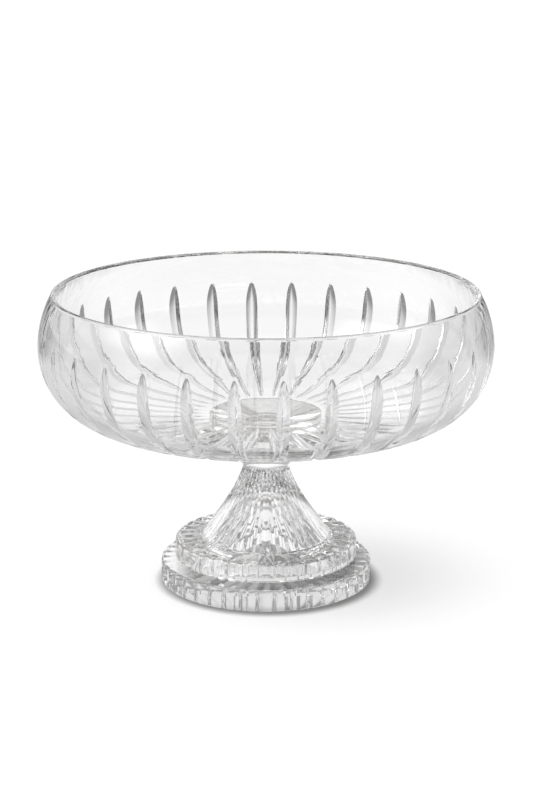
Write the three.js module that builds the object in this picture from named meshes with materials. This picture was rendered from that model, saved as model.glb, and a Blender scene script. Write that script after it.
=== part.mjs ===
// Footed cut crystal bowl: a wide bowl with leaf-shaped cuts, a plain flared collar, a fluted bell stem and a foot
// of two stepped tiers with panelled edges. Each glass piece is bonded to the next with a thin clear film.
// Millimetres, +Z up. The origin is the middle of the face that the foot rests on, and the front is towards -Y.
import * as THREE from 'three';

// Stem: a fluted bell, hollow inside
const STEM_HEIGHT = 47.1;
const STEM_FOOT_RADIUS = 42.4; // over the ridges between the flutes
const STEM_TOP_RADIUS = 14.3;
const STEM_WALL = 5; // glass round the hollow, at the foot
const FOOT_PULL_IN = 22.3; // handle of the flank's curve at the foot, inward and upward
const FOOT_PULL_UP = 26.6;
const TOP_PULL_OUT = 0.5; // handle of the same curve at the top, outward and downward
const TOP_PULL_DOWN = 5;
const STEM_FLUTES = 40;
const FLUTE_SAG = 0.035; // hollow of a flute for each millimetre of radius
const CAVITY_HEIGHT = 26;
const CAVITY_CROWN = 13; // the hollow's ceiling rounds over from about this radius
const CAVITY_PULL_IN = 17.4; // handle of the hollow's curve at the foot, inward and upward
const CAVITY_PULL_UP = 18;

// Foot: a ring on a solid disc, with flat panels round their sides and a narrow groove between each two
const LOWER_TIER_HEIGHT = 14;
const UPPER_TIER_HEIGHT = 12.1;
const TOP_LEDGE = 14.7; // the upper tier stands out this far past the stem's foot
const TIER_LEDGE = 8.9; // the lower tier stands out this far past the upper one
const LOWER_PANELS = 40;
const UPPER_PANELS = 36;
const GROOVE_DEPTH = 0.8;
const GROOVE_REACH = 0.08; // half width of a groove, as a share of the way from one to the next
const TIER_BEVEL = 0.5; // ground edge underneath each tier
const UPPER_ROUND = 2.2; // round edge over which the panels turn onto the top
const LOWER_ROUND = 1.6;
const UPPER_VALLEY = 1.1; // depth of the grooves on the top, at that edge
const LOWER_VALLEY = 0.5;
const VALLEY_INSET = 2; // plain ring inside the grooves on the top
const VALLEY_REACH = 0.25; // half width of a groove there, to where its sides are worn round
const VALLEY_SHOULDER = 0.4; // share of the depth at which they are
const SEAT_HEIGHT = 1.1; // plain raised disc that carries the upper tier
const SEAT_SETBACK = 4.1; // from the upper tier's edge in to the disc's edge
const SEAT_WIDTH = 10.5; // of the face that the two tiers share

// Collar: a plain flare from the stem's top to the bowl's seat
const COLLAR_HEIGHT = 22;
const COLLAR_PAD_RADIUS = 36;
const COLLAR_PAD_EDGE = 2.5; // upright edge of the pad under the bowl
const COLLAR_PULL_OUT = 13; // handle of the flare's curve at the stem, outward and upward
const COLLAR_PULL_UP = 9.9;

// Bowl: a shallow dome for its base, a rounded shoulder and a wall that leans in to the lip
const BOWL_HEIGHT = 87.9; // from its seat to the lip
const WIDEST_RADIUS = 140.4;
const RIM_INSET = 8.4; // the lip is this far inside the widest circle
const SHOULDER_RADIUS = 47.3;
const BASE_DOME_RADIUS = 560;
const SEAT_MARGIN = 2; // flat ground seat left round the collar's pad
const WALL = 5;
const LIP = 3.5;
const FLOOR = 9;
const FLOOR_DOME_RADIUS = 1250; // flatter than the base, so that the wall is even round the shoulder

// Cuts in the bowl: pointed leaves, V-shaped in section, that run down the outside to the seat
const CUTS = 32;
const CUT_TURN = THREE.MathUtils.degToRad(-1.6); // of the whole pattern, from a land at the front
const CUT_BELOW_LIP = 22; // from the lip down to the leaf's point
const CUT_HEAD = 18; // from the point to the widest place
const CUT_HEAD_FULLNESS = 0.6; // 1 is a slender point, less is a blunter one
const CUT_HALF_WIDTH = 3.85;
const CUT_TAIL_HALF_WIDTH = 1.5;
const CUT_DEPTH = 2.9; // of the V at its widest place
const CUT_END_MARGIN = 1; // the cuts stop this far outside the flat seat
const CUT_RUN_OUT = 6; // length over which they fade at that end

// Bonds between the glass pieces
const BOND = 0.2;
const BOND_MARGIN = 0.6; // the film stops this far inside the edges of the faces that it joins

// Facets
const ROUND_STEPS = 48;
const FLUTE_STEPS = 3;
const FLANK_ROWS = 9;
const CAVITY_ROWS = 6;
const FLARE_ROWS = 6;
const CUT_HEAD_ROWS = 4;
const CUT_TAIL_ROWS = 11;
const WALL_ROWS = 4;
const LIP_ROWS = 4;
const INSIDE_ROWS = 12;

// Radii that follow from the sizes above
const upperTierRadius = STEM_FOOT_RADIUS + TOP_LEDGE;
const lowerTierRadius = upperTierRadius + TIER_LEDGE;
const stemBore = STEM_FOOT_RADIUS - STEM_WALL;
const seatRadius = upperTierRadius - SEAT_SETBACK;
const lowerBore = seatRadius - SEAT_WIDTH;
const bowlSeatRadius = COLLAR_PAD_RADIUS + SEAT_MARGIN;
const rimRadius = WIDEST_RADIUS - RIM_INSET;

// Heights, stacked from the table up
const seatTop = LOWER_TIER_HEIGHT + SEAT_HEIGHT;
const upperTierBase = seatTop + BOND;
const upperTierTop = upperTierBase + UPPER_TIER_HEIGHT;
const stemBase = upperTierTop + BOND;
const stemTop = stemBase + STEM_HEIGHT;
const collarBase = stemTop + BOND;
const collarTop = collarBase + COLLAR_HEIGHT;
const bowlBase = collarTop + BOND;
const lipTop = bowlBase + BOWL_HEIGHT;

const FULL_TURN = 2 * Math.PI;
const FRONT = -Math.PI / 2;

// A point at an angle round the axis
function around(angle, radius, height) {
  return new THREE.Vector3(radius * Math.cos(angle), radius * Math.sin(angle), height);
}

function pole(height) {
  return [around(0, 0, height)];
}

function ring(count, start, radius, height) {
  return Array.from({ length: count }, (_, i) => around(start + (i / count) * FULL_TURN, radius, height));
}

// A ring of round hollows that meet in points. The hollows take sag off the radius.
function hollowedRing(hollows, steps, start, radius, sag, height) {
  return Array.from({ length: hollows * steps }, (_, i) => {
    const across = (i % steps) / steps;
    const angle = start + (i / (hollows * steps)) * FULL_TURN;
    return around(angle, radius - sag * 4 * across * (1 - across), height);
  });
}

// A ring of flat panels with a groove between each two. A groove takes depth off the radius and drop off the height at
// its bottom, and shoulder of both at its two edges.
function panelledRing(panels, start, radius, height, { depth, drop = 0, reach = GROOVE_REACH, shoulder = 0 }) {
  const pitch = FULL_TURN / panels;
  return Array.from({ length: panels }, (_, k) =>
    [[0, 1], [reach, shoulder], [1 - reach, shoulder]].map(([across, share]) =>
      around(start + (k + across) * pitch, radius - depth * share, height - drop * share),
    ),
  ).flat();
}

// Triangles between two rings, across the shorter diagonal. A ring of one point is a pole.
function zip(lower, lowerStart, upper, upperStart) {
  const lowerSteps = lower.length > 1 ? lower.length : 0;
  const upperSteps = upper.length > 1 ? upper.length : 0;
  const faces = [];
  let i = 0;
  let j = 0;
  while (i < lowerSteps || j < upperSteps) {
    const nextI = (i + 1) % lower.length;
    const nextJ = (j + 1) % upper.length;
    const here = i % lower.length;
    const above = j % upper.length;
    const lowerIsShorter = lower[nextI].distanceTo(upper[above]) <= upper[nextJ].distanceTo(lower[here]);
    if (j === upperSteps || (i < lowerSteps && lowerIsShorter)) {
      faces.push(lowerStart + here, lowerStart + nextI, upperStart + above);
      i += 1;
    } else {
      faces.push(lowerStart + here, upperStart + nextJ, upperStart + above);
      j += 1;
    }
  }
  return faces;
}

// A closed surface through rings that run outward underneath, up the outside and back in over the top. It starts and
// ends in a pole, or its last ring joins its first.
function loft(rings) {
  const starts = [];
  const positions = [];
  for (const points of rings) {
    starts.push(positions.length / 3);
    points.forEach((point) => positions.push(...point.toArray()));
  }
  const bands = rings[0].length === 1 ? rings.length - 1 : rings.length;
  const faces = [];
  for (let k = 0; k < bands; k += 1) {
    const next = (k + 1) % rings.length;
    faces.push(...zip(rings[k], starts[k], rings[next], starts[next]));
  }
  const geometry = new THREE.BufferGeometry();
  geometry.setAttribute('position', new THREE.Float32BufferAttribute(positions, 3));
  geometry.setIndex(faces);
  geometry.computeVertexNormals();
  return geometry;
}

// Points on a curve in the half plane of radius and height, from the first step to the last, both included
function curvePoints(curve, rows, first = 0, last = rows) {
  return Array.from({ length: last - first + 1 }, (_, i) => curve.getPoint((first + i) / rows));
}

function arc(radius, height, size, from, to) {
  return new THREE.EllipseCurve(radius, height, size, size, from, to, to < from);
}

// Half profile of a basin from its flat middle to its rim: a dome, a shoulder and a wall that leans in, each an arc
// that leaves the one before it with no corner.
function basinCurve({ flatRadius, base, domeRadius, shoulderRadius, widest, rim, rimHeight }) {
  const domeCentre = base + Math.sqrt(domeRadius ** 2 - flatRadius ** 2);
  const shoulderOut = widest - shoulderRadius;
  const centres = domeRadius - shoulderRadius;
  const shoulderCentre = domeCentre - Math.sqrt(centres ** 2 - shoulderOut ** 2);
  const meeting = Math.asin(shoulderOut / centres) - Math.PI / 2;
  const lean = widest - rim;
  const rise = rimHeight - shoulderCentre;
  const wallRadius = (lean ** 2 + rise ** 2) / (2 * lean);
  const curve = new THREE.CurvePath();
  curve.add(arc(0, domeCentre, domeRadius, Math.asin(flatRadius / domeRadius) - Math.PI / 2, meeting));
  curve.add(arc(shoulderOut, shoulderCentre, shoulderRadius, meeting, 0));
  curve.add(arc(widest - wallRadius, shoulderCentre, wallRadius, 0, Math.asin(rise / wallRadius)));
  return curve;
}

// How far along a rising profile it reaches a height or a radius, as a length
function lengthWhere(curve, axis, value) {
  let low = 0;
  let high = 1;
  for (let halving = 0; halving < 40; halving += 1) {
    const middle = (low + high) / 2;
    if (curve.getPoint(middle)[axis] < value) {
      low = middle;
    } else {
      high = middle;
    }
  }
  return low * curve.getLength();
}

// Bowl
function bowlGeometry() {
  const lipSpring = lipTop - LIP / 2; // where the round lip starts on both walls
  const outside = basinCurve({
    flatRadius: bowlSeatRadius,
    base: bowlBase,
    domeRadius: BASE_DOME_RADIUS,
    shoulderRadius: SHOULDER_RADIUS,
    widest: WIDEST_RADIUS,
    rim: rimRadius,
    rimHeight: lipSpring,
  });
  const inside = basinCurve({
    flatRadius: 0,
    base: bowlBase + FLOOR,
    domeRadius: FLOOR_DOME_RADIUS,
    shoulderRadius: SHOULDER_RADIUS - WALL,
    widest: WIDEST_RADIUS - WALL,
    rim: rimRadius - LIP,
    rimHeight: lipSpring,
  });
  const start = FRONT + Math.PI / CUTS + CUT_TURN;
  const plainRing = ({ x, y }) => ring(2 * CUTS, start, x, y);

  const outsideLength = outside.getLength();
  const cutTip = lengthWhere(outside, 'y', lipTop - CUT_BELOW_LIP);
  const cutEnd = lengthWhere(outside, 'x', bowlSeatRadius + CUT_END_MARGIN);
  const cutLength = cutTip - cutEnd;

  // Half width of a leaf at a distance down from its point
  function cutHalfWidth(down) {
    if (down < CUT_HEAD) {
      return CUT_HALF_WIDTH * Math.sin((Math.PI / 2) * (down / CUT_HEAD)) ** CUT_HEAD_FULLNESS;
    }
    const taper = Math.cos((Math.PI / 2) * ((down - CUT_HEAD) / (cutLength - CUT_HEAD)));
    const width = CUT_TAIL_HALF_WIDTH + (CUT_HALF_WIDTH - CUT_TAIL_HALF_WIDTH) * taper;
    return width * Math.min(1, (cutLength - down) / CUT_RUN_OUT);
  }

  // Each cut gives its ring four points: the bottom of the V, its two edges and the middle of the land beside it
  function cutRing(down) {
    const along = (cutTip - down) / outsideLength;
    const { x: radius, y: height } = outside.getPoint(along);
    const slope = outside.getTangent(along);
    const halfWidth = cutHalfWidth(down);
    const depth = CUT_DEPTH * (halfWidth / CUT_HALF_WIDTH) ** 2;
    const pitch = FULL_TURN / CUTS;
    const points = [];
    for (let k = 0; k < CUTS; k += 1) {
      const centre = start + k * pitch;
      points.push(around(centre, radius - depth * slope.y, height + depth * slope.x));
      points.push(around(centre + halfWidth / radius, radius, height));
      points.push(around(centre + pitch / 2, radius, height));
      points.push(around(centre + pitch - halfWidth / radius, radius, height));
    }
    return points;
  }

  const headRows = Array.from({ length: CUT_HEAD_ROWS }, (_, i) => (CUT_HEAD * (i + 1)) / CUT_HEAD_ROWS);
  const tailLength = cutLength - CUT_RUN_OUT - CUT_HEAD;
  const tailRows = Array.from({ length: CUT_TAIL_ROWS }, (_, i) => CUT_HEAD + (tailLength * (i + 1)) / CUT_TAIL_ROWS);
  const wallRows = Array.from({ length: WALL_ROWS + 1 }, (_, i) => cutTip + ((outsideLength - cutTip) * i) / WALL_ROWS);
  const lip = arc(rimRadius - LIP / 2, lipSpring, LIP / 2, 0, Math.PI);

  return loft([
    pole(bowlBase),
    plainRing({ x: bowlSeatRadius, y: bowlBase }),
    plainRing(outside.getPoint(cutEnd / outsideLength)),
    ...[...headRows, ...tailRows].reverse().map(cutRing),
    ...wallRows.map((length) => plainRing(outside.getPoint(length / outsideLength))),
    ...curvePoints(lip, LIP_ROWS, 1).map(plainRing),
    ...curvePoints(inside, INSIDE_ROWS, 1, INSIDE_ROWS - 1).reverse().map(plainRing),
    pole(bowlBase + FLOOR),
  ]);
}

// Collar
function collarGeometry() {
  const flare = new THREE.QuadraticBezierCurve(
    new THREE.Vector2(STEM_TOP_RADIUS, collarBase),
    new THREE.Vector2(STEM_TOP_RADIUS + COLLAR_PULL_OUT, collarBase + COLLAR_PULL_UP),
    new THREE.Vector2(COLLAR_PAD_RADIUS, collarTop - COLLAR_PAD_EDGE),
  );
  return loft([
    pole(collarBase),
    ...curvePoints(flare, FLARE_ROWS).map(({ x, y }) => ring(ROUND_STEPS, FRONT, x, y)),
    ring(ROUND_STEPS, FRONT, COLLAR_PAD_RADIUS, collarTop),
    pole(collarTop),
  ]);
}

// Stem
function stemGeometry() {
  const flank = new THREE.CubicBezierCurve(
    new THREE.Vector2(STEM_FOOT_RADIUS, stemBase),
    new THREE.Vector2(STEM_FOOT_RADIUS - FOOT_PULL_IN, stemBase + FOOT_PULL_UP),
    new THREE.Vector2(STEM_TOP_RADIUS + TOP_PULL_OUT, stemTop - TOP_PULL_DOWN),
    new THREE.Vector2(STEM_TOP_RADIUS, stemTop),
  );
  const ceiling = new THREE.CubicBezierCurve(
    new THREE.Vector2(0, stemBase + CAVITY_HEIGHT),
    new THREE.Vector2(CAVITY_CROWN, stemBase + CAVITY_HEIGHT),
    new THREE.Vector2(stemBore - CAVITY_PULL_IN, stemBase + CAVITY_PULL_UP),
    new THREE.Vector2(stemBore, stemBase),
  );
  return loft([
    pole(stemBase + CAVITY_HEIGHT),
    ...curvePoints(ceiling, CAVITY_ROWS, 1).map(({ x, y }) => ring(STEM_FLUTES, FRONT, x, y)),
    ...curvePoints(flank, FLANK_ROWS).map(({ x, y }) =>
      hollowedRing(STEM_FLUTES, FLUTE_STEPS, FRONT, x, x * FLUTE_SAG, y),
    ),
    pole(stemTop),
  ]);
}

// Foot. Each tier has a panel in the middle of its front.
const valleyShape = { reach: VALLEY_REACH, shoulder: VALLEY_SHOULDER };

function upperTierGeometry() {
  const start = FRONT - Math.PI / UPPER_PANELS;
  const plain = (radius, height) => ring(UPPER_PANELS, start, radius, height);
  const edge = (radius, height, groove) => panelledRing(UPPER_PANELS, start, radius, height, groove);
  const turn = UPPER_ROUND * (1 - Math.SQRT1_2);
  return loft([
    plain(lowerBore, upperTierBase),
    edge(upperTierRadius - TIER_BEVEL, upperTierBase, { depth: GROOVE_DEPTH }),
    edge(upperTierRadius, upperTierBase + TIER_BEVEL, { depth: GROOVE_DEPTH }),
    edge(upperTierRadius, upperTierTop - UPPER_ROUND, { depth: GROOVE_DEPTH }),
    edge(upperTierRadius - turn, upperTierTop - turn, { depth: GROOVE_DEPTH, drop: UPPER_VALLEY / 2 }),
    edge(upperTierRadius - UPPER_ROUND, upperTierTop, { depth: 0, drop: UPPER_VALLEY, ...valleyShape }),
    plain(STEM_FOOT_RADIUS + VALLEY_INSET, upperTierTop),
    plain(stemBore, upperTierTop),
  ]);
}

function lowerTierGeometry() {
  const start = FRONT - Math.PI / LOWER_PANELS;
  const plain = (radius, height) => ring(LOWER_PANELS, start, radius, height);
  const edge = (radius, height, groove) => panelledRing(LOWER_PANELS, start, radius, height, groove);
  const turn = LOWER_ROUND * (1 - Math.SQRT1_2);
  return loft([
    pole(0),
    edge(lowerTierRadius - TIER_BEVEL, 0, { depth: GROOVE_DEPTH }),
    edge(lowerTierRadius, TIER_BEVEL, { depth: GROOVE_DEPTH }),
    edge(lowerTierRadius, LOWER_TIER_HEIGHT - LOWER_ROUND, { depth: GROOVE_DEPTH }),
    edge(lowerTierRadius - turn, LOWER_TIER_HEIGHT - turn, { depth: GROOVE_DEPTH, drop: LOWER_VALLEY / 2 }),
    edge(lowerTierRadius - LOWER_ROUND, LOWER_TIER_HEIGHT, { depth: 0, drop: LOWER_VALLEY, ...valleyShape }),
    plain(seatRadius + VALLEY_INSET, LOWER_TIER_HEIGHT),
    plain(seatRadius, LOWER_TIER_HEIGHT),
    plain(seatRadius, seatTop),
    pole(seatTop),
  ]);
}

// Bonds
function bondDisc(radius, base) {
  return loft([
    pole(base),
    ring(ROUND_STEPS, FRONT, radius - BOND_MARGIN, base),
    ring(ROUND_STEPS, FRONT, radius - BOND_MARGIN, base + BOND),
    pole(base + BOND),
  ]);
}

function bondRing(bore, radius, base) {
  return loft([
    ring(ROUND_STEPS, FRONT, bore + BOND_MARGIN, base),
    ring(ROUND_STEPS, FRONT, radius - BOND_MARGIN, base),
    ring(ROUND_STEPS, FRONT, radius - BOND_MARGIN, base + BOND),
    ring(ROUND_STEPS, FRONT, bore + BOND_MARGIN, base + BOND),
  ]);
}

// Assembly
const crystal = { color: 0xf1f4f4, roughness: 0.03, metalness: 0, transparent: true, opacity: 0.35 };
const clearFilm = { color: 0xe9e4da, roughness: 0.15, metalness: 0, transparent: true, opacity: 0.35 };

function piece(name, geometry, finish) {
  const mesh = new THREE.Mesh(geometry, new THREE.MeshStandardMaterial(finish));
  mesh.name = name;
  return mesh;
}

const flutedFoot = STEM_FOOT_RADIUS * (1 - FLUTE_SAG); // the stem's ends, down in the flutes
const flutedTop = STEM_TOP_RADIUS * (1 - FLUTE_SAG);

const foot = new THREE.Group();
foot.add(piece('lower_tier', lowerTierGeometry(), crystal));
foot.add(piece('tier_bond', bondRing(lowerBore, seatRadius, seatTop), clearFilm));
foot.add(piece('upper_tier', upperTierGeometry(), crystal));

const pedestal = new THREE.Group();
pedestal.add(piece('stem_bond', bondRing(stemBore, flutedFoot, upperTierTop), clearFilm));
pedestal.add(piece('stem', stemGeometry(), crystal));
pedestal.add(piece('collar_bond', bondDisc(flutedTop, stemTop), clearFilm));
pedestal.add(piece('collar', collarGeometry(), crystal));

const basin = new THREE.Group();
basin.add(piece('bowl_bond', bondDisc(COLLAR_PAD_RADIUS, collarTop), clearFilm));
basin.add(piece('bowl', bowlGeometry(), crystal));

const footedBowl = new THREE.Group();
footedBowl.add(foot, pedestal, basin);

export default footedBowl;
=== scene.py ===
# Footed cut crystal bowl: its glass surfaces, a white studio floor, soft light and the camera.
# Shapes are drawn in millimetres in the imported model's frame and turned to metres when a mesh is made.
import math
from collections import namedtuple

import bpy
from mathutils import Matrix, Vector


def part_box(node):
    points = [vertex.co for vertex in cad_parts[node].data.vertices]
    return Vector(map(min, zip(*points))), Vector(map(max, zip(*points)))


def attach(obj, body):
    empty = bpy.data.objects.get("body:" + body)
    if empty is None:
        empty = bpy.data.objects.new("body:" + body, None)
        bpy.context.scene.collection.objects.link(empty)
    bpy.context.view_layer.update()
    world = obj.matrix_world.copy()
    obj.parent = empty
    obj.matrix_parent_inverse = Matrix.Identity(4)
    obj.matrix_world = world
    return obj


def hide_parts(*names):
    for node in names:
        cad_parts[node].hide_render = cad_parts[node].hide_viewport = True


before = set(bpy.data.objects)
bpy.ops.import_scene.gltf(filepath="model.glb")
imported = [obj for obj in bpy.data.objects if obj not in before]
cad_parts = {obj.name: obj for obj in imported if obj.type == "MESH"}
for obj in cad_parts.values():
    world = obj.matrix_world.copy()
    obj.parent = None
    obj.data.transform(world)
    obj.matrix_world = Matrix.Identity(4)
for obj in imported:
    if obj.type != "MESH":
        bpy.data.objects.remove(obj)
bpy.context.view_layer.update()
scene = bpy.context.scene

MM = 0.001
FRONT = -math.pi / 2


def span(node):
    """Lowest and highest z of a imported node, in millimetres."""
    low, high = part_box(node)
    return low.z / MM, high.z / MM


def reach_of(node):
    """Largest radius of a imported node, in millimetres."""
    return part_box(node)[1].x / MM


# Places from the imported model
foot_base, seat_top = span("lower_tier")
upper_base, upper_top = span("upper_tier")
stem_base, stem_top = span("stem")
collar_base, collar_top = span("collar")
bowl_base, lip_top = span("bowl")
bowl_film_radius = reach_of("bowl_bond")
collar_film_radius = reach_of("collar_bond")
stem_film_radius = reach_of("stem_bond")
tier_film_radius = reach_of("tier_bond")
FILM_MARGIN = 0.6  # the films stop this far inside the faces that they join

# Bowl
WIDEST_RADIUS = 140.4
RIM_RADIUS = 132.0
SHOULDER_RADIUS = 47.3
BASE_DOME_RADIUS = 560.0
BOWL_SEAT_RADIUS = 38.0
WALL = 5.0
LIP = 3.5
FLOOR = 9.0
FLOOR_DOME_RADIUS = 1250.0

# Leaf cuts in the bowl
CUTS = 32
CUT_TURN = math.radians(-1.6)
CUT_TIP_BELOW_LIP = 22.0
CUT_HEAD = 18.0
CUT_HEAD_FULLNESS = 0.6
CUT_HALF_WIDTH = 3.85
CUT_TAIL_HALF_WIDTH = 1.5
CUT_STEEPNESS = 0.65  # depth of the cut as a share of its half width
CUT_FULLNESS = 1.25
TAIL_STEEPNESS = 0.95
CUT_END_MARGIN = 1.0
CUT_RUN_OUT = 6.0
CUT_LEAST_HALF_WIDTH = 0.15

# Collar
COLLAR_PAD_RADIUS = 36.0
COLLAR_PAD_EDGE = 2.5
COLLAR_PULL = (13.0, 9.9)

# Stem
STEM_FOOT_RADIUS = 42.4
STEM_TOP_RADIUS = 14.3
STEM_BORE = 37.4
STEM_FOOT_PULL = (-22.3, 26.6)
STEM_TOP_PULL = (0.5, -5.0)
STEM_FLUTES = 40
FLUTE_SAG = 0.035
FLUTE_FULLNESS = 1.1
CAVITY_HEIGHT = 26.0
CAVITY_CROWN = 13.0
CAVITY_PULL = (-17.4, 18.0)

# Foot
UPPER_TIER_RADIUS = 57.1
UPPER_PANELS = 36
LOWER_TIER_RADIUS = 66.0
LOWER_PANELS = 40
LOWER_TIER_HEIGHT = 14.0
SEAT_RADIUS = 53.0
FOOT_BORE = 42.5
GROOVE_DEPTH = 0.8
GROOVE_REACH = 0.12
TIER_BEVEL = 0.5
UPPER_ROUND = 2.2
LOWER_ROUND = 1.6
UPPER_VALLEY = 1.1
LOWER_VALLEY = 0.5
VALLEY_INSET = 2.0
VALLEY_REACH = 0.46
PANEL_FULLNESS = 0.9
PANEL_STEPS = 9


# Nodes

def add(tree, kind, inputs=(), **settings):
    """Adds one node, sets its properties and fills its sockets with values or links."""
    node = tree.nodes.new(kind)
    for name, value in settings.items():
        setattr(node, name, value)
    for key, value in dict(inputs).items():
        if isinstance(value, bpy.types.NodeSocket):
            tree.links.new(value, node.inputs[key])
        else:
            node.inputs[key].default_value = value
    return node


def linear(colour, alpha=1.0):
    """Linear colour of an sRGB hex value such as #f4f7f6."""
    channels = [int(colour[i:i + 2], 16) / 255 for i in (1, 3, 5)]
    return [c / 12.92 if c <= 0.04045 else ((c + 0.055) / 1.055) ** 2.4 for c in channels] + [alpha]


# Materials
WAVE_LENGTH = 6.0  # waves left by acid polishing
WAVE_HEIGHT = 0.008
FILM_PATCH = 5.0  # patches in the adhesive
THIN_FILM_COVER = 0.01
THICK_FILM_COVER = 0.05


def cut_crystal():
    """Clear crystal, cut on a wheel and polished: sharp refraction, with faint waves from the polishing."""
    material = bpy.data.materials.new("polished_cut_crystal")
    material.use_nodes = True
    tree = material.node_tree
    shader = tree.nodes["Principled BSDF"]
    shader.inputs["Base Color"].default_value = linear("#fefefe")
    shader.inputs["Roughness"].default_value = 0.0
    shader.inputs["IOR"].default_value = 1.56
    shader.inputs["Transmission Weight"].default_value = 1.0
    place = add(tree, "ShaderNodeTexCoord").outputs["Object"]
    waves = add(tree, "ShaderNodeTexNoise", {"Vector": place, "Scale": 1 / (WAVE_LENGTH * MM), "Detail": 1.0})
    bump = add(tree, "ShaderNodeBump", {"Strength": 1.0, "Distance": WAVE_HEIGHT * MM,
                                        "Height": waves.outputs["Fac"]})
    tree.links.new(bump.outputs["Normal"], shader.inputs["Normal"])
    return material


def clear_adhesive():
    """Clear adhesive, cured between ground faces: no glint, and a faint warm cast in uneven patches."""
    material = bpy.data.materials.new("cured_clear_adhesive")
    material.use_nodes = True
    tree = material.node_tree
    shader = tree.nodes["Principled BSDF"]
    shader.inputs["Roughness"].default_value = 0.3
    shader.inputs["Specular IOR Level"].default_value = 0.0
    place = add(tree, "ShaderNodeTexCoord").outputs["Object"]
    patches = add(tree, "ShaderNodeTexNoise", {"Vector": place, "Scale": 1 / (FILM_PATCH * MM),
                                               "Detail": 2.0}).outputs["Fac"]
    warmth = add(tree, "ShaderNodeMix", {0: patches, 6: linear("#e6dccb"), 7: linear("#b89f7c")},
                 data_type="RGBA")
    cover = add(tree, "ShaderNodeMapRange", {"Value": patches, "From Min": 0.3, "From Max": 0.7,
                                             "To Min": THIN_FILM_COVER, "To Max": THICK_FILM_COVER})
    tree.links.new(warmth.outputs[2], shader.inputs["Base Color"])
    tree.links.new(cover.outputs["Result"], shader.inputs["Alpha"])
    return material


CRYSTAL = cut_crystal()
ADHESIVE = clear_adhesive()


# Surfaces turned from a half profile. A row is one point of the profile. inward and upward move the middle
# of each hollow, reach is the hollow's half width as a share of the pitch, and two bonded rows hold a bonded
# face between them.
WELD = 0.002  # points closer than this become one
PLAIN_REACH = 0.25  # spacing of the columns where the bowl has no cut
Row = namedtuple("Row", "radius height inward upward reach bonded", defaults=(0.0, 0.0, 0.5, False))


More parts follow.
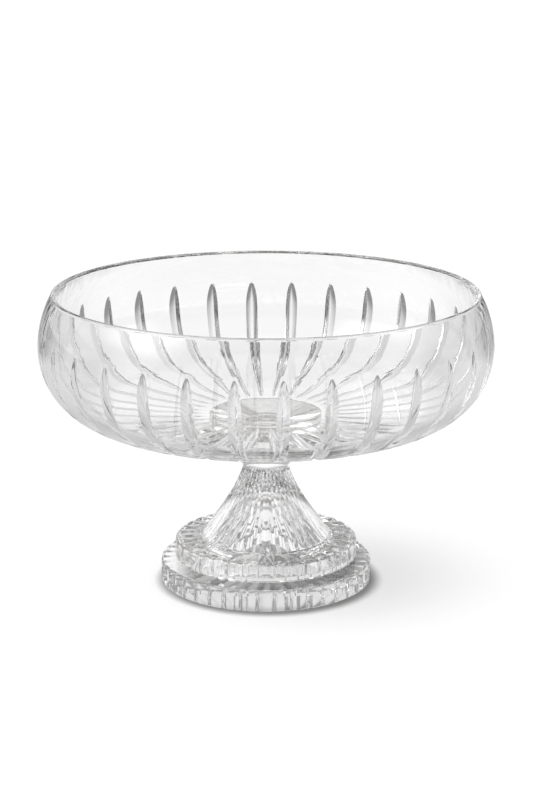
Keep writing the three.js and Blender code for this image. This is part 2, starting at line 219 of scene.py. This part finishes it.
def revolve_tree():
    """Geometry Nodes that turn a profile round the z axis and press repeated hollows into it."""
    tree = bpy.data.node_groups.new("patterned_revolve", "GeometryNodeTree")
    ports = {}
    for name, kind in (
        ("Profile", "Geometry"),
        ("Repeats", "Int"),
        ("Steps", "Int"),
        ("Turn", "Float"),
        ("Land Share", "Float"),
        ("Fullness", "Float"),
        ("Crease", "Float"),
        ("Glass", "Material"),
        ("Bonded Face", "Material"),
    ):
        socket = tree.interface.new_socket(name, in_out="INPUT", socket_type="NodeSocket" + kind)
        ports[name] = socket.identifier
    tree.interface.new_socket("Surface", in_out="OUTPUT", socket_type="NodeSocketGeometry")
    given = add(tree, "NodeGroupInput").outputs

    # One row of vertices for each point of the profile, and one column for each step round it
    rows = add(tree, "GeometryNodeAttributeDomainSize", {"Geometry": given["Profile"]}).outputs["Point Count"]
    columns = add(tree, "FunctionNodeIntegerMath", {0: given["Repeats"], 1: given["Steps"], 2: 1},
                  operation="MULTIPLY_ADD").outputs[0]
    grid = add(tree, "GeometryNodeMeshGrid", {"Vertices X": columns, "Vertices Y": rows}).outputs["Mesh"]
    index = add(tree, "GeometryNodeInputIndex").outputs["Index"]
    row = add(tree, "FunctionNodeIntegerMath", {0: index, 1: rows}, operation="MODULO").outputs[0]
    column = add(tree, "FunctionNodeIntegerMath", {0: index, 1: rows}, operation="DIVIDE_FLOOR").outputs[0]
    repeat = add(tree, "FunctionNodeIntegerMath", {0: column, 1: given["Steps"]},
                 operation="DIVIDE_FLOOR").outputs[0]
    step = add(tree, "FunctionNodeIntegerMath", {0: column, 1: given["Steps"]}, operation="MODULO").outputs[0]
    across = add(tree, "ShaderNodeMath", {0: step, 1: given["Steps"]}, operation="DIVIDE").outputs[0]

    point = {}
    for name, kind in (
        ("position", "FLOAT_VECTOR"),
        ("hollow", "FLOAT_VECTOR"),
        ("reach", "FLOAT"),
        ("bonded", "FLOAT"),
    ):
        field = add(tree, "GeometryNodeInputNamedAttribute", {"Name": name}, data_type=kind)
        at_row = add(tree, "GeometryNodeSampleIndex", {"Geometry": given["Profile"], "Index": row,
                                                       "Value": field.outputs["Attribute"]}, data_type=kind)
        point[name] = at_row.outputs["Value"]
    reach = point["reach"]

    # Columns crowd into the hollow's two halves, so that its edges fall on columns whatever its width
    half_share = add(tree, "ShaderNodeMath", {0: given["Land Share"], 1: -0.5, 2: 0.5},
                     operation="MULTIPLY_ADD").outputs[0]
    far_share = add(tree, "ShaderNodeMath", {0: 1.0, 1: half_share}, operation="SUBTRACT").outputs[0]
    land = add(tree, "ShaderNodeMath", {0: reach, 1: -2.0, 2: 1.0}, operation="MULTIPLY_ADD").outputs[0]
    offset = 0.0
    for start, end, width in (
        (0.0, half_share, reach),
        (half_share, far_share, land),
        (far_share, 1.0, reach),
    ):
        part = add(tree, "ShaderNodeMapRange", {"Value": across, "From Min": start, "From Max": end,
                                                "To Max": width}).outputs["Result"]
        offset = add(tree, "ShaderNodeMath", {0: offset, 1: part}, operation="ADD").outputs[0]

    # Depth of the hollow: a fullness of 1 gives a V, 2 a round sweep, and less than 1 a crease between
    # swelling sides
    mirrored = add(tree, "ShaderNodeMath", {0: 1.0, 1: offset}, operation="SUBTRACT").outputs[0]
    nearest = add(tree, "ShaderNodeMath", {0: offset, 1: mirrored}, operation="MINIMUM").outputs[0]
    from_middle = add(tree, "ShaderNodeMath", {0: nearest, 1: reach}, operation="DIVIDE",
                      use_clamp=True).outputs[0]
    rise = add(tree, "ShaderNodeMath", {0: from_middle, 1: given["Fullness"]}, operation="POWER").outputs[0]
    depth = add(tree, "ShaderNodeMath", {0: 1.0, 1: rise}, operation="SUBTRACT").outputs[0]
    pressed = add(tree, "ShaderNodeVectorMath", {0: point["hollow"], "Scale": depth},
                  operation="SCALE").outputs[0]
    section = add(tree, "ShaderNodeVectorMath", {0: point["position"], 1: pressed},
                  operation="ADD").outputs[0]

    pitch = add(tree, "ShaderNodeMath", {0: 2 * math.pi, 1: given["Repeats"]}, operation="DIVIDE").outputs[0]
    turns = add(tree, "ShaderNodeMath", {0: repeat, 1: offset}, operation="ADD").outputs[0]
    angle = add(tree, "ShaderNodeMath", {0: turns, 1: pitch, 2: given["Turn"]},
                operation="MULTIPLY_ADD").outputs[0]
    placed = add(tree, "ShaderNodeVectorRotate", {"Vector": section, "Angle": angle}, rotation_type="Z_AXIS")

    surface = add(tree, "GeometryNodeSetPosition", {"Geometry": grid,
                                                    "Position": placed.outputs[0]}).outputs[0]
    surface = add(tree, "GeometryNodeStoreNamedAttribute", {"Geometry": surface, "Name": "bonded",
                                                             "Value": point["bonded"]},
                  data_type="FLOAT", domain="POINT").outputs[0]
    surface = add(tree, "GeometryNodeMergeByDistance", {"Geometry": surface,
                                                        "Distance": WELD * MM}).outputs[0]
    surface = add(tree, "GeometryNodeSetShadeSmooth", {"Geometry": surface}, domain="FACE").outputs[0]
    edge_angle = add(tree, "GeometryNodeInputMeshEdgeAngle").outputs["Unsigned Angle"]
    creased = add(tree, "FunctionNodeCompare", {"A": edge_angle, "B": given["Crease"]},
                  data_type="FLOAT", operation="GREATER_THAN").outputs[0]
    surface = add(tree, "GeometryNodeSetShadeSmooth", {"Geometry": surface, "Selection": creased,
                                                       "Shade Smooth": False}, domain="EDGE").outputs[0]
    surface = add(tree, "GeometryNodeRealizeInstances", {"Geometry": surface}).outputs[0]
    surface = add(tree, "GeometryNodeSetMaterial", {"Geometry": surface,
                                                    "Material": given["Glass"]}).outputs[0]
    on_bond = add(tree, "GeometryNodeInputNamedAttribute", {"Name": "bonded"},
                  data_type="FLOAT").outputs["Attribute"]
    wetted = add(tree, "FunctionNodeCompare", {"A": on_bond, "B": 0.99}, data_type="FLOAT",
                 operation="GREATER_THAN").outputs[0]
    surface = add(tree, "GeometryNodeSetMaterial", {"Geometry": surface, "Selection": wetted,
                                                    "Material": given["Bonded Face"]}).outputs[0]
    add(tree, "NodeGroupOutput", {"Surface": surface})
    return tree, ports


REVOLVE, REVOLVE_PORTS = revolve_tree()


def turned_piece(name, node, rows, repeats, steps, turn=FRONT, land_share=0.0, fullness=2.0, crease=20.0):
    """A crystal piece turned from its rows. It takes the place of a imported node."""
    profile = bpy.data.meshes.new(name)
    points = [(row.radius * MM, 0.0, row.height * MM) for row in rows]
    profile.from_pydata(points, [(i, i + 1) for i in range(len(points) - 1)], [])
    hollows = [c * MM for row in rows for c in (-row.inward, 0.0, row.upward)]
    profile.attributes.new("hollow", "FLOAT_VECTOR", "POINT").data.foreach_set("vector", hollows)
    profile.attributes.new("reach", "FLOAT", "POINT").data.foreach_set("value", [row.reach for row in rows])
    profile.attributes.new("bonded", "FLOAT", "POINT").data.foreach_set("value", [row.bonded for row in rows])

    piece = bpy.data.objects.new(name, profile)
    scene.collection.objects.link(piece)
    modifier = piece.modifiers.new("revolve", "NODES")
    modifier.node_group = REVOLVE
    for port, value in (
        ("Repeats", repeats),
        ("Steps", steps),
        ("Turn", turn),
        ("Land Share", land_share),
        ("Fullness", fullness),
        ("Crease", math.radians(crease)),
        ("Glass", CRYSTAL),
        ("Bonded Face", ADHESIVE),
    ):
        modifier[REVOLVE_PORTS[port]] = value
    evaluated = piece.evaluated_get(bpy.context.evaluated_depsgraph_get())
    surface = bpy.data.meshes.new_from_object(evaluated)
    surface.materials.pop(index=0)  # the grid's own empty slot
    piece.modifiers.clear()
    piece.data = surface
    bpy.data.meshes.remove(profile)
    surface.name = name

    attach(piece, "root")
    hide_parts(node)
    return piece


# Half profiles

def bezier(points, steps):
    """Points on a quadratic or cubic curve, both ends included."""
    order = len(points) - 1
    curve = []
    for i in range(steps + 1):
        t = i / steps
        weights = [math.comb(order, k) * t ** k * (1 - t) ** (order - k) for k in range(order + 1)]
        curve.append(tuple(sum(w * p[axis] for w, p in zip(weights, points)) for axis in (0, 1)))
    return curve


def basin_arcs(flat_radius, base, dome, shoulder, widest, rim, rim_height):
    """Dome, shoulder and leaning wall of a basin as arcs (centre radius, centre height, size, start, end)."""
    dome_centre = base + math.sqrt(dome ** 2 - flat_radius ** 2)
    shoulder_out = widest - shoulder
    between = dome - shoulder
    shoulder_centre = dome_centre - math.sqrt(between ** 2 - shoulder_out ** 2)
    meeting = math.asin(shoulder_out / between) - math.pi / 2
    lean = widest - rim
    rise = rim_height - shoulder_centre
    wall = (lean ** 2 + rise ** 2) / (2 * lean)
    return [
        (0.0, dome_centre, dome, math.asin(flat_radius / dome) - math.pi / 2, meeting),
        (shoulder_out, shoulder_centre, shoulder, meeting, 0.0),
        (widest - wall, shoulder_centre, wall, 0.0, math.asin(rise / wall)),
    ]


def arc_lengths(arcs):
    return [size * (end - start) for _, _, size, start, end in arcs]


def on_arcs(arcs, length):
    """Radius, height and outward angle at a length along the arcs."""
    for (radius, height, size, start, end), part in zip(arcs, arc_lengths(arcs)):
        if length <= part or (radius, height, size, start, end) == arcs[-1]:
            angle = start + length / size
            return radius + size * math.cos(angle), height + size * math.sin(angle), angle
        length -= part
    raise ValueError("no arcs")


def cut_half_width(down, length):
    """Half width of a leaf cut at a distance down from its point."""
    if down < CUT_HEAD:
        return CUT_HALF_WIDTH * math.sin(math.pi / 2 * down / CUT_HEAD) ** CUT_HEAD_FULLNESS
    taper = math.cos(math.pi / 2 * (down - CUT_HEAD) / (length - CUT_HEAD))
    width = CUT_TAIL_HALF_WIDTH + (CUT_HALF_WIDTH - CUT_TAIL_HALF_WIDTH) * taper
    return width * min(1.0, (length - down) / CUT_RUN_OUT)


def cut_depth(down, half_width, length):
    """Depth of a leaf cut, whose narrow tail is steeper than the wide leaf."""
    narrowing = (CUT_HALF_WIDTH - half_width) / (CUT_HALF_WIDTH - CUT_TAIL_HALF_WIDTH)
    tail = narrowing * min(1.0, (length - down) / CUT_RUN_OUT) if down > CUT_HEAD else 0.0
    return half_width * (CUT_STEEPNESS + (TAIL_STEEPNESS - CUT_STEEPNESS) * tail)


def spread(start, end, steps):
    return [start + (end - start) * i / steps for i in range(steps + 1)]


def bowl_rows():
    lip_spring = lip_top - LIP / 2
    outside = basin_arcs(BOWL_SEAT_RADIUS, bowl_base, BASE_DOME_RADIUS, SHOULDER_RADIUS, WIDEST_RADIUS,
                         RIM_RADIUS, lip_spring)
    inside = basin_arcs(0.0, bowl_base + FLOOR, FLOOR_DOME_RADIUS, SHOULDER_RADIUS - WALL,
                        WIDEST_RADIUS - WALL, RIM_RADIUS - LIP, lip_spring)
    dome_length, shoulder_length, wall_length = arc_lengths(outside)
    _, wall_height, wall_size, _, _ = outside[2]
    tip_turn = math.asin((lip_top - CUT_TIP_BELOW_LIP - wall_height) / wall_size)
    tip = dome_length + shoulder_length + wall_size * tip_turn
    dome_start = outside[0][3]
    end = BASE_DOME_RADIUS * (math.asin((BOWL_SEAT_RADIUS + CUT_END_MARGIN) / BASE_DOME_RADIUS) - math.pi / 2
                              - dome_start)
    cut_length = tip - end

    rows = [
        Row(0.0, bowl_base, bonded=True),
        Row(bowl_film_radius, bowl_base, bonded=True),
        Row(BOWL_SEAT_RADIUS, bowl_base, reach=0.2),
    ]
    tail = spread(cut_length, CUT_HEAD, 44)
    head = [CUT_HEAD * share ** 2 for share in spread(1.0, 0.0, 16)[1:]]
    for down in tail + head:
        radius, height, angle = on_arcs(outside, tip - down)
        half_width = cut_half_width(down, cut_length)
        depth = cut_depth(down, half_width, cut_length)
        reach = max(half_width, CUT_LEAST_HALF_WIDTH) / (2 * math.pi * radius / CUTS)
        rows.append(Row(radius, height, depth * math.cos(angle), -depth * math.sin(angle), reach))
    tip_reach = rows[-1].reach
    for share in spread(0.0, 1.0, 8)[1:]:
        radius, height, _ = on_arcs(outside, tip + share * (sum(arc_lengths(outside)) - tip))
        rows.append(Row(radius, height, reach=tip_reach + (PLAIN_REACH - tip_reach) * share))
    for turn in spread(0.0, math.pi, 24)[1:]:
        rows.append(Row(RIM_RADIUS - LIP / 2 + LIP / 2 * math.cos(turn),
                        lip_spring + LIP / 2 * math.sin(turn), reach=PLAIN_REACH))
    for length in reversed(spread(0.0, sum(arc_lengths(inside)), 40)[:-1]):
        radius, height, _ = on_arcs(inside, length)
        rows.append(Row(radius, height, reach=PLAIN_REACH))
    return rows


def collar_rows():
    flare = bezier([
        (STEM_TOP_RADIUS, collar_base),
        (STEM_TOP_RADIUS + COLLAR_PULL[0], collar_base + COLLAR_PULL[1]),
        (COLLAR_PAD_RADIUS, collar_top - COLLAR_PAD_EDGE),
    ], 24)
    return [
        Row(0.0, collar_base, bonded=True),
        Row(collar_film_radius, collar_base, bonded=True),
        *(Row(radius, height) for radius, height in flare),
        Row(COLLAR_PAD_RADIUS, collar_top),
        Row(bowl_film_radius, collar_top, bonded=True),
        Row(0.0, collar_top, bonded=True),
    ]


def stem_rows():
    ceiling = bezier([
        (0.0, stem_base + CAVITY_HEIGHT),
        (CAVITY_CROWN, stem_base + CAVITY_HEIGHT),
        (STEM_BORE + CAVITY_PULL[0], stem_base + CAVITY_PULL[1]),
        (STEM_BORE, stem_base),
    ], 24)
    flank = bezier([
        (STEM_FOOT_RADIUS, stem_base),
        (STEM_FOOT_RADIUS + STEM_FOOT_PULL[0], stem_base + STEM_FOOT_PULL[1]),
        (STEM_TOP_RADIUS + STEM_TOP_PULL[0], stem_top + STEM_TOP_PULL[1]),
        (STEM_TOP_RADIUS, stem_top),
    ], 48)
    return [
        *(Row(radius, height) for radius, height in ceiling),
        Row(STEM_BORE + FILM_MARGIN, stem_base, bonded=True),
        Row(stem_film_radius, stem_base, bonded=True),
        *(Row(radius, height, inward=FLUTE_SAG * radius) for radius, height in flank),
        Row(collar_film_radius, stem_top, bonded=True),
        Row(0.0, stem_top, bonded=True),
    ]


def panelled_side(radius, base, top, edge_round, valley):
    """Rows up a tier's side and over its round edge, where the grooves widen into valleys on the top."""
    rows = [
        Row(radius - TIER_BEVEL, base, GROOVE_DEPTH, reach=GROOVE_REACH),
        Row(radius, base + TIER_BEVEL, GROOVE_DEPTH, reach=GROOVE_REACH),
    ]
    for share in spread(0.0, 1.0, 6):
        turn = math.pi / 2 * share
        rows.append(Row(radius - edge_round * (1 - math.cos(turn)), top - edge_round * (1 - math.sin(turn)),
                        GROOVE_DEPTH * (1 - share), -valley * share,
                        GROOVE_REACH + (VALLEY_REACH - GROOVE_REACH) * share))
    return rows


def upper_tier_rows():
    bore = bezier([(STEM_BORE, upper_top), (FOOT_BORE, upper_base)], 6)
    return [
        Row(FOOT_BORE, upper_base, reach=GROOVE_REACH),
        Row(FOOT_BORE + FILM_MARGIN, upper_base, reach=GROOVE_REACH, bonded=True),
        Row(tier_film_radius, upper_base, reach=GROOVE_REACH, bonded=True),
        *panelled_side(UPPER_TIER_RADIUS, upper_base, upper_top, UPPER_ROUND, UPPER_VALLEY),
        Row(STEM_FOOT_RADIUS + VALLEY_INSET, upper_top, reach=VALLEY_REACH),
        Row(stem_film_radius, upper_top, reach=VALLEY_REACH, bonded=True),
        Row(STEM_BORE + FILM_MARGIN, upper_top, reach=VALLEY_REACH, bonded=True),
        *(Row(radius, height, reach=VALLEY_REACH) for radius, height in bore[:-1]),
        Row(FOOT_BORE, upper_base, reach=GROOVE_REACH),
    ]


def lower_tier_rows():
    ledge = foot_base + LOWER_TIER_HEIGHT
    return [
        Row(0.0, foot_base, reach=GROOVE_REACH),
        *panelled_side(LOWER_TIER_RADIUS, foot_base, ledge, LOWER_ROUND, LOWER_VALLEY),
        Row(SEAT_RADIUS + VALLEY_INSET, ledge, reach=VALLEY_REACH),
        Row(SEAT_RADIUS, ledge, reach=VALLEY_REACH),
        Row(SEAT_RADIUS, seat_top, reach=VALLEY_REACH),
        Row(tier_film_radius, seat_top, reach=VALLEY_REACH, bonded=True),
        Row(FOOT_BORE + FILM_MARGIN, seat_top, reach=VALLEY_REACH, bonded=True),
        Row(FOOT_BORE, seat_top, reach=VALLEY_REACH),
        Row(0.0, seat_top, reach=VALLEY_REACH),
    ]


# Pieces
turned_piece("cut_bowl", "bowl", bowl_rows(), CUTS, 20, FRONT + math.pi / CUTS + CUT_TURN, land_share=0.3,
             fullness=CUT_FULLNESS, crease=9.0)
turned_piece("flared_collar", "collar", collar_rows(), 8, 16)
turned_piece("fluted_stem", "stem", stem_rows(), STEM_FLUTES, 10, FRONT + math.pi / STEM_FLUTES,
             fullness=FLUTE_FULLNESS, crease=12.0)
for piece, node, rows, panels in (
    ("panelled_upper_tier", "upper_tier", upper_tier_rows(), UPPER_PANELS),
    ("panelled_lower_tier", "lower_tier", lower_tier_rows(), LOWER_PANELS),
):
    turned_piece(piece, node, rows, panels, PANEL_STEPS, FRONT + math.pi / panels, land_share=1 / PANEL_STEPS,
                 fullness=PANEL_FULLNESS, crease=14.0)
for film in ("bowl_bond", "collar_bond", "stem_bond", "tier_bond"):
    film_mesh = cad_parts[film].data
    film_mesh.materials.clear()
    film_mesh.materials.append(ADHESIVE)


# Studio
FLOOR_LIFT = 0.85  # white that the camera sees beside the paper's own shading, which keeps the shadow
PAINTED_LIGHT_STREAKS = 60  # painted streaks of light round the foot, standing in for the rays that the flutes and panels throw


def white_paper():
    """White paper, matt. In the glass it shows painted shade below the bowl and the foot, crossed by painted
    rays of light.
    """
    material = bpy.data.materials.new("white_paper_floor")
    material.use_nodes = True
    tree = material.node_tree
    shader = tree.nodes["Principled BSDF"]
    shader.inputs["Base Color"].default_value = linear("#808080")
    shader.inputs["Roughness"].default_value = 0.9
    shader.inputs["Specular IOR Level"].default_value = 0.0
    shader.inputs["Emission Color"].default_value = linear("#ffffff")
    path = add(tree, "ShaderNodeLightPath").outputs
    place = add(tree, "ShaderNodeTexCoord").outputs["Object"]
    x, y, _ = add(tree, "ShaderNodeSeparateXYZ", {0: place}).outputs
    aside = add(tree, "ShaderNodeMath", {0: x}, operation="ABSOLUTE").outputs[0]
    outward = add(tree, "ShaderNodeVectorMath", {0: place}, operation="NORMALIZE").outputs[0]
    # Painted rays of light: a noise that streaks out from the foot's axis
    rays = add(tree, "ShaderNodeTexNoise", {"Vector": outward, "Scale": PAINTED_LIGHT_STREAKS / 2 / math.pi, "Detail": 1.0})
    away, from_contact, from_shade = [
        add(tree, "ShaderNodeVectorMath", {0: place, 1: (right * MM, back * MM, 0.0)},
            operation="DISTANCE").outputs["Value"]
        for right, back in ((0.0, 0.0), (1.5, -3.0), (42.0, 4.0))
    ]

    # Painted light and shade on the paper: what it follows, from where to where, and from which level to which
    level = {}
    for name, follows, start, end, first, last in (
        ("painted_contact_shadow", from_contact, 64 * MM, 74 * MM, 0.2, 1.0),
        ("shade", from_shade, 30 * MM, 125 * MM, 0.8, 1.0),
        ("painted_shade_below_foot", away, 30 * MM, 46 * MM, 0.5, 0.16),
        ("painted_streaks_below_foot", rays.outputs["Fac"], 0.4, 0.6, 0.35, 1.7),
        ("painted_light_from_left", x, -45 * MM, 45 * MM, 1.7, 0.3),
        ("painted_light_at_left_edge", x, -64 * MM, -34 * MM, 1.1, 0.0),
        ("within_foot", away, 64 * MM, 70 * MM, 1.0, 0.0),
        ("painted_dark_ring_at_foot_edge", away, 56 * MM, 80 * MM, 0.1, 0.56),
        ("painted_shade_below_bowl", away, 80 * MM, 290 * MM, 0.0, 0.44),
        ("painted_streaks_beyond_foot", rays.outputs["Fac"], 0.4, 0.6, 0.6, 1.4),
        ("painted_shade_near_sides", aside, 105 * MM, 185 * MM, 1.0, 0.7),
        ("painted_shade_far_sides", aside, 140 * MM, 500 * MM, 1.0, 0.25),
    ):
        level[name] = add(tree, "ShaderNodeMapRange", {"Value": follows, "From Min": start, "From Max": end,
                                                       "To Min": first, "To Max": last},
                          interpolation_type="SMOOTHSTEP").outputs["Result"]
    # The painted rays fade out between 90 and 130 mm from the axis
    painted_streaks_beyond_foot = add(tree, "ShaderNodeMapRange", {"Value": away, "From Min": 90 * MM, "From Max": 130 * MM,
                                              "To Min": level["painted_streaks_beyond_foot"], "To Max": 1.0}).outputs["Result"]
    # Painted shade: the paper in the glass grows darker towards the sides, and more so further back
    lit = add(tree, "ShaderNodeMapRange", {"Value": y, "From Min": 420 * MM, "From Max": 560 * MM,
                                           "To Min": level["painted_shade_near_sides"],
                                           "To Max": level["painted_shade_far_sides"]}).outputs["Result"]

    # Painted contact shadow and shade: the camera sees a dark line painted where the foot stands and a soft
    # shade painted to its right, away from the light
    lift = FLOOR_LIFT
    for dimming in (level["painted_contact_shadow"], level["shade"], path["Is Camera Ray"]):
        lift = add(tree, "ShaderNodeMath", {0: lift, 1: dimming}, operation="MULTIPLY").outputs[0]
    tree.links.new(lift, shader.inputs["Emission Strength"])

    # The glass shows painted light below the foot, streaked and brighter to the left, a painted dark ring below
    # its edge, and painted shade below the bowl fading to whiter paper further out
    beyond = add(tree, "ShaderNodeMath", {0: level["painted_dark_ring_at_foot_edge"], 1: level["painted_shade_below_bowl"]},
                 operation="ADD").outputs[0]
    beyond = add(tree, "ShaderNodeMath", {0: beyond, 1: painted_streaks_beyond_foot}, operation="MULTIPLY").outputs[0]
    # Painted light on the paper below the left edge of the foot
    left = add(tree, "ShaderNodeMath", {0: level["painted_light_at_left_edge"], 1: level["within_foot"]},
               operation="MULTIPLY").outputs[0]
    paper = level["painted_shade_below_foot"]
    for operation, light in (
        ("MULTIPLY", level["painted_streaks_below_foot"]),
        ("MULTIPLY", level["painted_light_from_left"]),
        ("MAXIMUM", left),
        ("MAXIMUM", beyond),
        ("MULTIPLY", lit),
    ):
        paper = add(tree, "ShaderNodeMath", {0: paper, 1: light}, operation=operation).outputs[0]
    white = add(tree, "ShaderNodeEmission", {"Color": linear("#ffffff"), "Strength": paper})
    in_glass = add(tree, "ShaderNodeMath", {0: path["Is Glossy Ray"], 1: path["Is Transmission Ray"]},
                   operation="MAXIMUM").outputs[0]
    shown = add(tree, "ShaderNodeMixShader", {0: in_glass, 1: shader.outputs[0], 2: white.outputs[0]})
    tree.links.new(shown.outputs[0], tree.nodes["Material Output"].inputs["Surface"])
    return material


FLOOR_HALF = 9.0
FLOOR_DROP = 0.0002  # keeps the floor just clear of the foot
floor_mesh = bpy.data.meshes.new("floor")
corners = [(x * FLOOR_HALF, y * FLOOR_HALF, 0.0) for x, y in ((-1, -1), (1, -1), (1, 1), (-1, 1))]
floor_mesh.from_pydata(corners, [], [(0, 1, 2, 3)])
floor_mesh.materials.append(white_paper())
floor = bpy.data.objects.new("floor", floor_mesh)
scene.collection.objects.link(floor)
floor.location.z = -FLOOR_DROP

# A surround, white at the back and the left and dark at the front, with a grey room above it, a white panel
# overhead and two softboxes. Fades are between sines of elevation.
LEFT_LEAN = 0.6  # how far the surround's white side turns from the back to the left
SIDE_FADE = (-0.3, 0.5)
FRONT_LEVEL = 0.12
SURROUND_FADE = (0.3, 0.45)
ROOM_LEVEL = 0.4
OVERHEAD_FADE = (0.72, 0.95)
OVERHEAD_LEVEL = 1.3
SOFTBOXES = ((-100, -52, 18, 65, 3.5), (70, 95, 10, 50, 2.0))  # azimuths from the front, elevations, level
SOFT_SIDES = 0.3
SOFT_ENDS = 0.12

world = bpy.data.worlds.new("studio")
scene.world = world
world.use_nodes = True
sky = world.node_tree
sky.nodes.clear()
direction = add(sky, "ShaderNodeTexCoord").outputs["Generated"]
towards = add(sky, "ShaderNodeSeparateXYZ", {0: direction}).outputs
nearer = add(sky, "ShaderNodeMath", {0: towards["Y"], 1: -1.0}, operation="MULTIPLY").outputs[0]
azimuth = add(sky, "ShaderNodeMath", {0: towards["X"], 1: nearer}, operation="ARCTAN2").outputs[0]
lit_side = add(sky, "ShaderNodeMath", {0: towards["X"], 1: -LEFT_LEAN, 2: towards["Y"]},
               operation="MULTIPLY_ADD").outputs[0]
surround = add(sky, "ShaderNodeMapRange", {"Value": lit_side, "From Min": SIDE_FADE[0], "From Max": SIDE_FADE[1],
                                           "To Min": FRONT_LEVEL, "To Max": 1.0}).outputs["Result"]
light = add(sky, "ShaderNodeMapRange", {"Value": towards["Z"], "From Min": SURROUND_FADE[0],
                                        "From Max": SURROUND_FADE[1], "To Min": surround,
                                        "To Max": ROOM_LEVEL}).outputs["Result"]
overhead = add(sky, "ShaderNodeMapRange", {"Value": towards["Z"], "From Min": OVERHEAD_FADE[0],
                                           "From Max": OVERHEAD_FADE[1], "To Max": OVERHEAD_LEVEL},
               interpolation_type="SMOOTHSTEP").outputs["Result"]
light = add(sky, "ShaderNodeMath", {0: light, 1: overhead}, operation="MAXIMUM").outputs[0]
for left, right, low, high, softbox in SOFTBOXES:
    for follows, edge, soft in (
        (azimuth, math.radians(left), SOFT_SIDES),
        (azimuth, math.radians(right), -SOFT_SIDES),
        (towards["Z"], math.sin(math.radians(low)), SOFT_ENDS),
        (towards["Z"], math.sin(math.radians(high)), -SOFT_ENDS),
    ):
        inside = add(sky, "ShaderNodeMapRange", {"Value": follows, "From Min": edge - soft,
                                                 "From Max": edge + soft},
                     interpolation_type="SMOOTHSTEP").outputs["Result"]
        softbox = add(sky, "ShaderNodeMath", {0: softbox, 1: inside}, operation="MULTIPLY").outputs[0]
    light = add(sky, "ShaderNodeMath", {0: light, 1: softbox}, operation="MAXIMUM").outputs[0]
path = add(sky, "ShaderNodeLightPath").outputs
light = add(sky, "ShaderNodeMath", {0: light, 1: path["Is Camera Ray"]}, operation="MAXIMUM").outputs[0]
seen = add(sky, "ShaderNodeCombineColor", {0: light, 1: light, 2: light})
glow = add(sky, "ShaderNodeBackground", {"Color": seen.outputs[0], "Strength": 1.0})
add(sky, "ShaderNodeOutputWorld", {"Surface": glow.outputs[0]})

# Camera
IMAGE_HEIGHT = 800
FOCAL_PIXELS = 2142.2
CAMERA_BACK = 1.2881
CAMERA_HEIGHT = 0.4543
CAMERA_TILT = 0.2573  # downwards, in radians
CAMERA_SHIFT = 0.0007
lens = bpy.data.cameras.new("camera")
lens.sensor_width = 36.0
lens.lens = FOCAL_PIXELS / IMAGE_HEIGHT * lens.sensor_width
lens.shift_x = CAMERA_SHIFT
camera = bpy.data.objects.new("camera", lens)
scene.collection.objects.link(camera)
camera.location = (0.0, -CAMERA_BACK, CAMERA_HEIGHT)
camera.rotation_euler = (math.pi / 2 - CAMERA_TILT, 0.0, 0.0)
scene.camera = camera

scene.view_settings.view_transform = "Standard"
scene.cycles.max_bounces = 32
scene.cycles.transmission_bounces = 32
scene.cycles.glossy_bounces = 16
scene.cycles.transparent_max_bounces = 32
